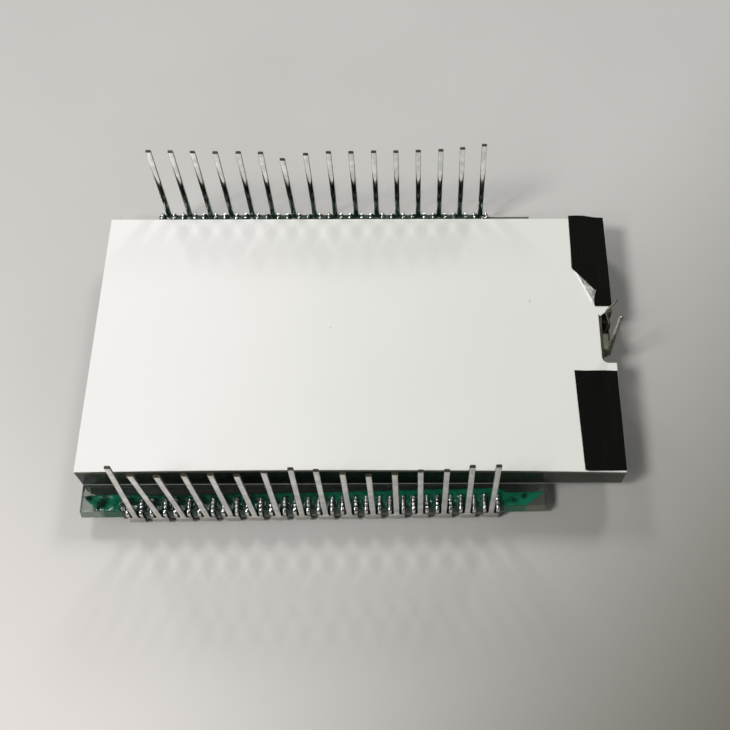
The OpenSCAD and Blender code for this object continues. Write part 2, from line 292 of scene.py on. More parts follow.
@dataclass(frozen=True)
class GlassFinish:
    """Clear float glass: frosted along its scored near edge, hazy from dust elsewhere, the haze
    paler at the right end.

    The scored edge is green where resin lies behind it, and darker towards the right as painted
    shade. The far ledge is pale, with a painted shade line along the film at its right end.
    """

    name: str
    tint: Colour = srgb(216, 229, 221)
    roughness: float = 0.02
    scored: Colour = srgb(142, 156, 143)
    green: Colour = srgb(28, 100, 72)
    dust: Colour = srgb(78, 86, 77)
    haze_right: Colour = srgb(126, 130, 118)
    pale: Colour = srgb(214, 213, 206)
    scored_in_shade: Colour = srgb(108, 108, 96)
    shaded: Colour = srgb(74, 76, 68)
    edge_line: float = -18.82 * MM
    edge_turn: float = 0.007
    edge_lean: float = 0.318
    edge_middle: float = 1.95 * MM
    green_from: float = -22.6 * MM
    green_to: float = 22.9 * MM
    dust_change: float = 22.6 * MM
    ledge_from: float = 17.9 * MM
    ledge_top: float = 2.45 * MM
    shade_from: float = 19.0 * MM
    shade_to: float = 18.6 * MM

    def edge_tone(self, sheet: Sheet, far: Signal) -> Signal:
        """Returns the colour of the frosted places, with painted shade to the right and along the
        film.

        Args:
            sheet: the sheet that it is on.
            far: 1 on the far ledge and 0 elsewhere.
        """
        along, across = sheet.axis("X"), sheet.axis("Y")
        # The scored edge darkens towards the right: painted shade.
        tone = sheet.mix(along.above(0.0, 20 * MM), self.scored, self.scored_in_shade)
        resin = along.above(self.green_from, 0.5 * MM) * along.below(self.green_to, 0.3 * MM)
        tone = sheet.mix(resin * across.below(0.0, 1 * MM), tone, self.green)
        # A dark line on the far ledge along the film's right end: painted shade.
        line = along.above(self.shade_from, 0.5 * MM) * across.below(self.shade_to, 0.06 * MM)
        return sheet.mix(far, tone, sheet.mix(line, self.pale, self.shaded))

    def build(self) -> bpy.types.Material:
        """Returns the material: clear under a haze, with frost over both on the edges."""
        sheet = Sheet(self.name)
        along, across, height = (sheet.axis(name) for name in "XYZ")
        dust = sheet.noise(0.5 * MM, 5).above(0.66, 0.06)
        ticks = sheet.noise(0.3 * MM, 3, (1.0, 1.0, 0.3))
        far = across.above(self.ledge_from, 0.3 * MM)
        face = across - self.edge_turn * along - self.edge_lean * (height - self.edge_middle)
        edge = face.below(self.edge_line, 0.03 * MM) + far * height.above(self.ledge_top, 0.03 * MM)
        # The haze turns paler towards the right end.
        haze = sheet.mix(along.above(self.dust_change, 0.8 * MM), self.dust, self.haze_right)
        clear = sheet.shader({
            "Base Color": self.tint,
            "Roughness": self.roughness + 0.12 * dust,
            "IOR": 1.52,
            "Transmission Weight": 1.0,
        })
        dull = sheet.shader({"Base Color": haze, "Roughness": 0.3 + 0.3 * ticks})
        frosted = sheet.shader({
            "Base Color": self.edge_tone(sheet, far),
            "Roughness": 0.3 + 0.2 * ticks,
            "Normal": sheet.bump(ticks, 0.02 * MM, 0.4),
        })
        hazy = sheet.blend(0.22 + 0.1 * dust, clear, dull)
        return sheet.finish(sheet.blend(0.7 * edge, hazy, frosted))


@dataclass(frozen=True)
class ResinFinish:
    """Dark green cured resin: wet gloss, thin places brighter than deep ones."""

    name: str = "green_resin"
    deep: Colour = srgb(4, 34, 24)
    thin: Colour = srgb(20, 112, 82)

    def build(self) -> bpy.types.Material:
        """Returns the material."""
        sheet = Sheet(self.name)
        pools = sheet.noise(1.3 * MM, 4)
        ripple = sheet.noise(0.3 * MM, 3)
        depth = sheet.painted("depth") + 0.5 * (pools - 0.5) + 0.7 * (ripple - 0.5)
        return sheet.principled({
            "Base Color": sheet.mix(depth.above(0.5, 0.5), self.thin, self.deep),
            "Roughness": 0.06 + 0.08 * ripple,
            "IOR": 1.55,
            "Normal": sheet.bump(ripple * 0.6 + pools * 0.4, 0.11 * MM, 0.7),
        })


@dataclass(frozen=True)
class FilmFinish:
    """Matt white reflector film with faint handling marks, a slow waviness, and painted shade that
    greys it towards the right.
    """

    name: str = "white_film"
    white: Colour = srgb(234, 232, 229)
    shade: Colour = srgb(216, 217, 210)
    speck: Colour = srgb(150, 148, 140)

    def build(self) -> bpy.types.Material:
        """Returns the material."""
        sheet = Sheet(self.name)
        wide = sheet.noise(14 * MM, 2)
        fine = sheet.noise(0.35 * MM, 4)
        specks = sheet.noise(0.9 * MM, 1).above(0.83, 0.02)
        drift = sheet.axis("X") + 16 * MM * (wide - 0.5)
        # The film greys towards the right: painted shade.
        body = sheet.mix(drift.above(0.0, 26 * MM), self.white, self.shade)
        return sheet.principled({
            "Base Color": sheet.mix(specks * 0.5, body, self.speck),
            "Roughness": 0.42 + 0.12 * fine,
            "Normal": sheet.bump(wide * 0.7 + fine * 0.05, 0.12 * MM, 0.5),
        })


@dataclass(frozen=True)
class TapeFinish:
    """Black tape with a satin skin, a fine weave of scuffs and dust."""

    name: str = "black_tape"
    black: Colour = srgb(7, 9, 6)
    dust: Colour = srgb(24, 26, 22)

    def build(self) -> bpy.types.Material:
        """Returns the material."""
        sheet = Sheet(self.name)
        fine = sheet.noise(0.25 * MM, 5)
        streak = sheet.noise(0.6 * MM, 3, (1.0, 0.12, 1.0))
        dusty = (streak * fine).above(0.36, 0.08)
        return sheet.principled({
            "Base Color": sheet.mix(dusty * 0.55, self.black, self.dust),
            "Roughness": 0.55 + 0.2 * streak,
            "Specular IOR Level": 0.06,
            "Normal": sheet.bump(fine * 0.5 + streak * 0.5, 0.03 * MM, 0.6),
        })


@dataclass(frozen=True)
class FlapFinish:
    """Underside of the peeled film: grey and paler streaks of painted shade, with a white painted
    highlight along the fold.
    """

    name: str = "film_underside"
    fold: Colour = srgb(240, 240, 236)
    grey: Colour = srgb(118, 120, 114)
    pale: Colour = srgb(182, 184, 178)

    def build(self) -> bpy.types.Material:
        """Returns the material."""
        sheet = Sheet(self.name)
        streak = sheet.noise(0.35 * MM, 3, (1.0, 0.45, 1.0))
        # A white band along the fold: painted highlight.
        fold_highlight = sheet.painted("from_fold").below(0.16, 0.05)
        # Grey and paler streaks, darker than the white film: painted shade.
        body = sheet.mix(streak.above(0.52, 0.12), self.grey, self.pale)
        return sheet.principled({
            "Base Color": sheet.mix(fold_highlight, body, self.fold),
            "Roughness": 0.3 + 0.2 * streak,
            "Normal": sheet.bump(streak, 0.04 * MM, 0.5),
        })


@dataclass(frozen=True)
class BlockFinish:
    """Edge of the moulded light guide: glossy, dark, with paler lines along both rims."""

    name: str = "light_guide_block"
    dark: Colour = srgb(24, 29, 25)
    olive: Colour = srgb(48, 49, 42)
    black: Colour = srgb(4, 8, 5)
    rim: Colour = srgb(84, 80, 67)
    base: Colour = srgb(112, 116, 112)
    base_top: float = 2.93 * MM
    base_end: float = 25.0 * MM
    rim_foot: float = 5.26 * MM

    def build(self) -> bpy.types.Material:
        """Returns the material."""
        sheet = Sheet(self.name)
        cloud = sheet.noise(5 * MM, 3)
        saw = sheet.noise(0.16 * MM, 2, (1.0, 1.0, 0.1))
        height = sheet.axis("Z") + 0.08 * MM * (cloud - 0.5)
        body = sheet.mix(cloud.above(0.5, 0.22), self.dark, self.olive)
        away = sheet.axis("X") * sheet.axis("X") * (1 / MM ** 2)
        body = sheet.mix(away.below(330.0, 240.0) * 0.85, body, self.black)
        body = sheet.mix(height.above(self.rim_foot, 0.06 * MM), body, self.rim)
        line = height.below(self.base_top, 0.04 * MM)
        line = line * sheet.axis("X").below(self.base_end, 0.2 * MM)
        return sheet.principled({
            "Base Color": sheet.mix(line, body, self.base),
            "Roughness": 0.14 + 0.18 * saw,
            "IOR": 1.49,
            "Normal": sheet.bump(saw, 0.02 * MM, 0.5),
        })


@dataclass(frozen=True)
class PlainFinish:
    """Two colours that drift into each other, with a roughness and a bump that follow.

    Attributes:
        name: the material's name.
        first, second: both colours.
        roughness, rougher: the least roughness, and how much the noise adds to it.
        alpha: how much of what lies behind is covered.
        size, detail, stretch: the noise.
        bump: depth and strength of the bump.
        others: further inputs of the shader.
    """

    name: str
    first: Colour
    second: Colour
    roughness: float = 0.25
    alpha: float = 1.0
    size: float = 3 * MM
    detail: float = 4
    stretch: Triple = (1, 1, 1)
    rougher: float = 0.08
    bump: tuple[float, float] = (0.02 * MM, 0.3)
    others: tuple[tuple[str, float], ...] = ()

    def build(self) -> bpy.types.Material:
        """Returns the material."""
        sheet = Sheet(self.name)
        drift = sheet.noise(self.size, self.detail, self.stretch)
        return sheet.principled({
            "Base Color": sheet.mix(drift.above(0.5, 0.2), self.first, self.second),
            "Roughness": self.roughness + self.rougher * drift,
            "Alpha": self.alpha,
            "Normal": sheet.bump(drift, *self.bump),
            **dict(self.others),
        })


# Dark bare metal of the cut edges, darker still as painted shade and painted dark reflection on the
# pins' ends and sides.
SHEARED_EDGE_AND_SHADE = PlainFinish(
    "sheared_edge", srgb(52, 49, 38), srgb(84, 80, 64), 0.32, size=0.07 * MM, detail=3,
    stretch=(1.0, 0.3, 0.3), rougher=0.2, bump=(0.01 * MM, 0.5), others=(("Metallic", 0.9),))
LAMP_RESIN = PlainFinish(
    "lamp_resin", srgb(108, 112, 94), srgb(138, 141, 122), 0.06, size=0.7 * MM, detail=3,
    rougher=0.1, bump=(0.05 * MM, 0.4), others=(("IOR", 1.53), ("Transmission Weight", 0.4)))


@dataclass(frozen=True)
class TableFinish:
    """Pale matt table top, with painted shadow darkening it to the near right and painted light
    brightening it to the near left.
    """

    name: str = "pale_table"
    pale: Colour = srgb(194, 192, 188)
    even: Colour = srgb(187, 186, 182)
    painted_shadow: Colour = srgb(88, 85, 71)
    clear: Colour = srgb(219, 213, 209)

    def build(self) -> bpy.types.Material:
        """Returns the material."""
        sheet = Sheet(self.name)
        drift = sheet.noise(40 * MM, 2)
        fine = sheet.noise(1.5 * MM, 4)
        across = sheet.axis("X") * 0.8 - sheet.axis("Y") * 0.6 + 4 * MM * drift
        corner = -0.7 * sheet.axis("X") - 0.7 * sheet.axis("Y") + 4 * MM * drift
        body = sheet.mix(drift.above(0.5, 0.3), self.even, self.pale)
        # Lighter to the near left: painted light.
        body = sheet.mix(corner.above(34 * MM, 26 * MM), body, self.clear)
        return sheet.principled({
            # Darker and more olive to the near right: painted shadow.
            "Base Color": sheet.mix(across.above(44 * MM, 34 * MM), body, self.painted_shadow),
            "Roughness": 0.55 + 0.1 * fine,
            "Normal": sheet.bump(fine, 0.03 * MM, 0.2),
        })


def points_of(mesh: bpy.types.Mesh) -> Rows:
    """Returns a mesh's points as rows of X, Y and Z."""
    flat = np.empty(len(mesh.vertices) * 3)
    mesh.vertices.foreach_get("co", flat)
    return flat.reshape(-1, 3)


def move_points(mesh: bpy.types.Mesh, points: Rows) -> None:
    """Moves a mesh's points to new places."""
    mesh.vertices.foreach_set("co", points.reshape(-1))
    mesh.update()


def dress(node: str, finish: bpy.types.Material) -> None:
    """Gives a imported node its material."""
    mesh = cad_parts[node].data
    mesh.materials.clear()
    mesh.materials.append(finish)


def piece(name: str, vertices: Rows, faces: Iterable[Sequence[int]], finish: bpy.types.Material,
          smooth: bool = True) -> bpy.types.Object:
    """Makes a mesh object that rides on the display.

    Args:
        name: the piece's name.
        vertices: an array of points, in metres.
        faces: the corner numbers of each face.
        finish: its material.
        smooth: whether its faces are shaded smooth.

    Returns:
        The new object.
    """
    mesh = bpy.data.meshes.new(name)
    mesh.from_pydata(vertices.tolist(), [], [list(map(int, f)) for f in faces])
    mesh.validate()
    mesh.materials.append(finish)
    mesh.polygons.foreach_set("use_smooth", np.full(len(mesh.polygons), smooth))
    mesh.update()
    item = bpy.data.objects.new(name, mesh)
    bpy.context.scene.collection.objects.link(item)
    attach(item, BODY)
    return item


def paint(item: bpy.types.Object, name: str, values: Rows) -> None:
    """Writes one number for each of a piece's points, which its material can read."""
    painted = item.data.attributes.new(name, "FLOAT", "POINT")
    painted.data.foreach_set("value", values.reshape(-1).astype(np.float32))


def smooth_step(values: Rows) -> Rows:
    """Eases values from 0 to 1: 3 times the square less twice the cube, held at both ends."""
    held = np.clip(values, 0, 1)
    return held * held * (3 - 2 * held)


def near_shift(x: Rows) -> Rows:
    """Returns how far the near ledge stands out past its packed line: more at its left end."""
    return np.interp(x, (-25 * MM, 25 * MM), (0.3 * MM, -0.05 * MM))


def lattice(rows: int, columns: int, closed: bool) -> Rows:
    """Returns the four-cornered faces of a grid of rows times columns points.

    Args:
        rows: points along the first direction.
        columns: points along the second direction.
        closed: whether the second direction runs round a loop.

    Returns:
        An array of faces, four corner numbers each.
    """
    steps = columns if closed else columns - 1
    row, column = np.meshgrid(np.arange(rows - 1), np.arange(steps), indexing="ij")
    following = (column + 1) % columns
    quads = [row * columns + column, row * columns + following,
             (row + 1) * columns + following, (row + 1) * columns + column]
    return np.stack(quads, axis=-1).reshape(-1, 4)


def tube(name: str, rings: Rows, finish: bpy.types.Material,
         smooth: bool = True) -> bpy.types.Object:
    """Makes a closed solid from a stack of rings, with flat ends.

    Args:
        name: the piece's name.
        rings: an array of rings, points round each ring, and coordinates.
        finish: its material.
        smooth: whether its faces are shaded smooth.

    Returns:
        The new object.
    """
    count, around = rings.shape[:2]
    sides = lattice(count, around, True)
    first = np.arange(around)[::-1]
    last = (count - 1) * around + np.arange(around)
    return piece(name, rings.reshape(-1, 3), [*sides, first, last], finish, smooth)


def outward(outline: Rows) -> Rows:
    """Returns how each corner of a closed outline moves when its edges move out by one.

    The edges' normals on both sides of a corner are added and scaled so that both
    edges move by the same distance.

    Args:
        outline: corners in order, anticlockwise.

    Returns:
        One vector for each corner.
    """
    edge = np.roll(outline, -1, axis=0) - outline
    edge /= np.linalg.norm(edge, axis=1, keepdims=True)
    normal = np.stack([edge[:, 1], -edge[:, 0]], axis=1)
    before = np.roll(normal, 1, axis=0)
    return (normal + before) / (1 + (normal * before).sum(axis=1, keepdims=True))


def eased(outline: Rows, cut: float) -> Rows:
    """Cuts each corner of a closed outline.

    Every corner becomes two points, one on each of its edges, at the same distance from it.

    Args:
        outline: corners in order.
        cut: that distance.

    Returns:
        Twice as many corners.
    """
    back = np.roll(outline, 1, axis=0) - outline
    ahead = np.roll(outline, -1, axis=0) - outline
    pair = [outline + v / np.linalg.norm(v, axis=1, keepdims=True) * cut for v in (back, ahead)]
    return np.stack(pair, axis=1).reshape(-1, 2)


def slab(name: str, outline: Rows, low: float, high: float, edge: float,
         finish: bpy.types.Material, along_x: bool = False) -> bpy.types.Object:
    """Makes a straight solid with bevelled rims.

    Four rings follow the outline: drawn in by the bevel at both ends, and full size
    between them.

    Args:
        name: the piece's name.
        outline: corners in order, anticlockwise, in metres.
        low, high: where it starts and ends.
        edge: width of the bevel.
        finish: its material.
        along_x: whether it runs along X, with its outline in Y and Z, and not up Z.

    Returns:
        The new object.
    """
    out = outward(outline)
    steps = [(-edge, low), (0.0, low + edge), (0.0, high - edge), (-edge, high)]
    rings = np.array([np.column_stack([outline + out * grow, np.full(len(outline), z)])
                      for grow, z in steps])
    return tube(name, np.roll(rings, 1, axis=2) if along_x else rings, finish, smooth=False)


def rectangle(low: Rows, high: Rows) -> Rows:
    """Returns the four corners of a rectangle, anticlockwise."""
    return np.array([[low[0], low[1]], [high[0], low[1]], [high[0], high[1]], [low[0], high[1]]])


def strip_rings(path: Rows, across: Rows, widths: Rows, thickness: Rows, round_off: float) -> Rows:
    """Carries a rounded strip section along a path.

    The section is a rectangle with its corners cut at 45 degrees. It stands across the
    path: its width runs along a fixed direction, its thickness along the path's normal.

    Args:
        path: points of the strip's middle line.
        across: unit direction of the strip's width.
        widths: width at each point.
        thickness: thickness at each point.
        round_off: size of the cut corners.

    Returns:
        Rings of eight points each.
    """
    along = np.gradient(path, axis=0)
    along /= np.linalg.norm(along, axis=1, keepdims=True)
    normal = np.cross(along, across)
    normal /= np.linalg.norm(normal, axis=1, keepdims=True)
    half_w, half_t = widths / 2, thickness / 2
    cut_w = half_w - np.minimum(round_off, half_w * 0.6)
    cut_t = half_t - np.minimum(round_off, half_t * 0.6)
    sides = [(half_w, -cut_t), (half_w, cut_t), (cut_w, half_t), (-cut_w, half_t),
             (-half_w, cut_t), (-half_w, -cut_t), (-cut_w, -half_t), (cut_w, -half_t)]
    ring = [path + across * w[:, None] + normal * t[:, None] for w, t in sides]
    return np.stack(ring, axis=1)


def join(name: str, parts: list[bpy.types.Object]) -> bpy.types.Object:
    """Joins several new pieces into one object.

    Args:
        name: the joined piece's name.
        parts: the objects, which share a material.

    Returns:
        The joined object.
    """
    vertices, faces, start = [], [], 0
    for part in parts:
        vertices.append(points_of(part.data))
        faces.extend([v + start for v in p.vertices] for p in part.data.polygons)
        start += len(vertices[-1])
    finish = parts[0].data.materials[0]
    for part in parts:
        bpy.data.objects.remove(part)
    return piece(name, np.concatenate(vertices), faces, finish)


@dataclass
class GlassCell:
    """The two glass plates, their sheets and what is sealed between them."""

    digits: int = 4
    edge: float = 0.07 * MM
    slant: float = EDGE_SLANT
    hair: float = 0.006 * MM
    sheet_edge: float = 0.04 * MM
    glass: GlassFinish = GlassFinish("float_glass")
    front_sheet: PlainFinish = PlainFinish(
        "front_polarizer_sheet", srgb(92, 97, 86), srgb(99, 103, 93), 0.12, 0.72)
    rear_sheet: PlainFinish = PlainFinish(
        "rear_polarizer_sheet", srgb(120, 123, 112), srgb(130, 133, 122), 0.2)
    seal: PlainFinish = PlainFinish("seal_bead", srgb(176, 178, 166), srgb(190, 190, 178), 0.5)
    plug: PlainFinish = PlainFinish("plug_resin", srgb(208, 200, 150), srgb(222, 214, 170), 0.2)
    fluid: PlainFinish = PlainFinish(
        "liquid_layer", srgb(196, 202, 184), srgb(202, 207, 190), 0.3)
    segment: PlainFinish = PlainFinish(
        "segment_conductor", srgb(112, 118, 106), srgb(120, 126, 114), 0.3)
    common: PlainFinish = PlainFinish(
        "common_conductor", srgb(190, 196, 180), srgb(196, 202, 188), 0.3)

    def plate(self, node: str, slant: float, finish: bpy.types.Material) -> None:
        """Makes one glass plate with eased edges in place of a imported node.

        Its section is carried along X. The near edge leans in towards the rear face.

        Args:
            node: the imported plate.
            slant: how far the near edge leans in.
            finish: the glass.
        """
        low, high = corners(node)
        section = rectangle(low[1:], high[1:])
        section[3, 0] += slant
        item = slab(node + "_plate", eased(section, self.edge), low[0], high[0], self.edge,
                    finish, along_x=True)
        if slant:
            points = points_of(item.data)
            points[:, 1] -= np.where(points[:, 1] < 0, near_shift(points[:, 0]), 0)
            move_points(item.data, points)
        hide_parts(node)

    def sheet(self, node: str, slot: str, finish: PlainFinish) -> None:
        """Makes one polarizer sheet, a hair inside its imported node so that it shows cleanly."""
        low, high = corners(node)
        item = slab(node + "_sheet", rectangle(low, high), low[2] + self.hair,
                    high[2] - self.hair, self.sheet_edge, finish.build())
        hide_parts(node)

    def build(self) -> None:
        """Builds and dresses the cell."""
        glass = self.glass.build()
        self.plate("rear_glass", self.slant, glass)
        self.plate("front_glass", 0.0, glass)
        self.sheet("front_polarizer", "front_polarizer", self.front_sheet)
        self.sheet("rear_polarizer", "rear_polarizer", self.rear_sheet)
        for node, finish in {"perimeter_seal": self.seal, "fill_plug": self.plug,
                             "liquid_crystal": self.fluid, "common_electrode": self.common}.items():
            dress(node, finish.build())
        segment = self.segment.build()
        for digit in range(1, self.digits + 1):
            dress(f"digit_{digit}", segment)
        LOG.info("glass cell built")


@dataclass
class Pin:
    """One clip-on pin, cut and bent from tinned sheet."""

    row: Row
    number: int
    thickness: float = METAL
    stem_width: float = 0.6 * MM
    foot_width: float = 1.78 * MM
    prong_width: float = 0.36 * MM
    prong_reach: float = PRONG_REACH
    foot_drop: float = 0.35 * MM
    foot_fall: float = 0.72 * MM
    wave: float = WAVE
    waves: float = WAVES
    under_width: float = 0.5 * MM
    root: float = 0.95 * MM
    root_under: float = 0.3 * MM
    round_off: float = 0.06 * MM
    tip_zone: float = 0.15 * MM
    ledge: float = 0.0
    edge: float = 0.0
    shift: float = 0.0

    def name(self) -> str:
        """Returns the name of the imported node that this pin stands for."""
        return f"pin_{self.row.name.lower()}_{self.number:02d}"

    def measure(self) -> tuple[float, float, float]:
        """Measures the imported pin.

        Returns:
            The place of its foot along the row, and how far the tip of its stem stands
            from its foot, along the row and outwards.
        """
        points = points_of(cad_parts[self.name()].data)
        tip = points[points[:, 2] > points[:, 2].max() - self.tip_zone].mean(axis=0)
        foot = points[points[:, 2] < self.ledge - self.thickness]
        place = (foot[:, 0].min() + foot[:, 0].max()) / 2
        outwards = abs(tip[1]) - self.edge - self.thickness / 2
        return float(place), float(tip[0] - foot.mean(axis=0)[0]), float(outwards)

    def plate_rings(self, x: float, lean: tuple[float, float], bottom: float, top: float) -> Rows:
        """Returns the rings of the foot and stem.

        The path climbs outside the ledge and leans by a share of the tip's bend that
        grows evenly from the ledge to the tip. The width falls from the foot's to the
        stem's in a short shoulder below the ledge, and shrinks at the tip.

        Args:
            x: place along the row.
            lean: how far the tip stands from the foot, along the row and outwards.
            bottom, top: heights of both ends.
        """
        along, outwards = lean
        shoulder = self.ledge - self.foot_fall
        z = np.concatenate([np.linspace(bottom, shoulder, 6),
                            np.linspace(shoulder + 0.12 * MM, top - 0.09 * MM, 26),
                            [top + 0.05 * MM]])
        share = np.clip((z - self.ledge - 0.1 * MM) / (top - self.ledge), 0, 1)
        side = self.row.value
        reach = self.edge + self.shift * (1 - share) + self.thickness / 2 + outwards * share
        path = np.column_stack([x + along * share, side * reach, z])
        widths = np.where(z <= shoulder + 1e-9, self.foot_width, self.stem_width)
        widths[0] -= 0.12 * MM
        widths[-1] = self.stem_width - 0.03 * MM
        thickness = np.full(len(z), self.thickness)
        thickness[0] *= 0.6
        thickness[-1] *= 0.85
        return strip_rings(path, ALONG_ROW, widths, thickness, self.round_off)

    def prong_rings(self, x: float, face: float, side: float, width: float) -> Rows:
        """Returns the rings of one prong.

        It leaves the foot, turns over the ledge in a quarter round, then runs inwards in
        an even row of waves that touch the glass.

        Args:
            x: place along the row.
            face: height of the glass face that it presses on.
            side: 1 over the ledge, -1 under it.
            width: width of the prong.
        """
        turn, middle = self.thickness, self.thickness / 2
        angle = np.linspace(0, math.pi / 2, 6)
        corner_out = middle - turn + turn * np.cos(angle)
        corner_up = 2 * self.wave + middle - turn + turn * np.sin(angle)
        share = np.linspace(0, 1, 42)[1:]
        run_out = middle - turn - share * (self.prong_reach - turn)
        run_up = middle + self.wave * (1 + np.cos(2 * math.pi * self.waves * share))
        out = np.concatenate([[middle], corner_out, run_out])
        up = np.concatenate([[-self.root if side > 0 else -self.root_under], corner_up, run_up])
        y = self.row.value * (self.edge + self.shift + out)
        path = np.column_stack([np.full(len(out), x), y, face + side * up])
        count = len(out)
        widths = np.full(count, width)
        widths[-3:] *= (0.92, 0.8, 0.6)
        return strip_rings(path, ALONG_ROW, widths, np.full(count, self.thickness * 0.8),
                           self.round_off)

    def bare_cuts_and_shade(self, item: bpy.types.Object, sheared_and_shaded: bpy.types.Material) -> None:
        """Gives the cut-edge finish, bare metal darkened further as painted shade, to the faces
        that look along the row and to the stem's end.
        """
        count = len(item.data.polygons)
        normals, middles = np.empty(count * 3), np.empty(count * 3)
        item.data.polygons.foreach_get("normal", normals)
        item.data.polygons.foreach_get("center", middles)
        normals, middles = normals.reshape(-1, 3), middles.reshape(-1, 3)
        ends = middles[:, 2] > middles[:, 2].max() - 0.09 * MM
        cut = (np.abs(normals[:, 0]) > 0.85) | ends
        item.data.materials.append(sheared_and_shaded)
        item.data.polygons.foreach_set("material_index", cut.astype(np.int32))
        item.data.polygons.foreach_set("use_smooth", ~ends)

    def build(self, finish: bpy.types.Material, sheared_and_shaded: bpy.types.Material) -> None:
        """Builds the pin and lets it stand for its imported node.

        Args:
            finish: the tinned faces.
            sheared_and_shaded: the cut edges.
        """
        low, high = corners(self.name())
        glass_low, glass_high = corners("rear_glass")
        self.ledge = float(glass_high[2])
        self.edge = float(glass_high[1])
        x, *lean = self.measure()
        self.shift = float(near_shift(np.array(x))) if self.row is Row.NEAR else 0.0
        name = self.name() + "_strip"
        bottom = low[2] - self.foot_drop if self.row is Row.NEAR else low[2] + 0.02 * MM
        rings = self.plate_rings(x, tuple(lean), bottom, high[2] - 0.06 * MM)
        parts = [tube(name + "_plate", rings, finish)]
        reach = (self.foot_width - self.prong_width) / 2
        for place in (-reach, reach):
            rings = self.prong_rings(x + place, self.ledge, 1.0, self.prong_width)
            parts.append(tube(name + "_prong", rings, finish))
        rings = self.prong_rings(x, float(glass_low[2]), -1.0, self.under_width)
        parts.append(tube(name + "_under", rings, finish))
        item = join(name, parts)
        self.bare_cuts_and_shade(item, sheared_and_shaded)
        item.modifiers.new("corner", "WEIGHTED_NORMAL").keep_sharp = True
        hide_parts(self.name())


@dataclass
class PinRows:
    """Both rows of pins."""

    count: int = 16
    finish: TinFinish = TinFinish()
    cut: PlainFinish = SHEARED_EDGE_AND_SHADE

    def build(self) -> None:
        """Builds every pin of both rows."""
        tin, sheared_and_shaded = self.finish.build(), self.cut.build()
        for row in Row:
            for number in range(1, self.count + 1):
                Pin(row, number).build(tin, sheared_and_shaded)
            LOG.info("%s row of pins built", row.name.lower())


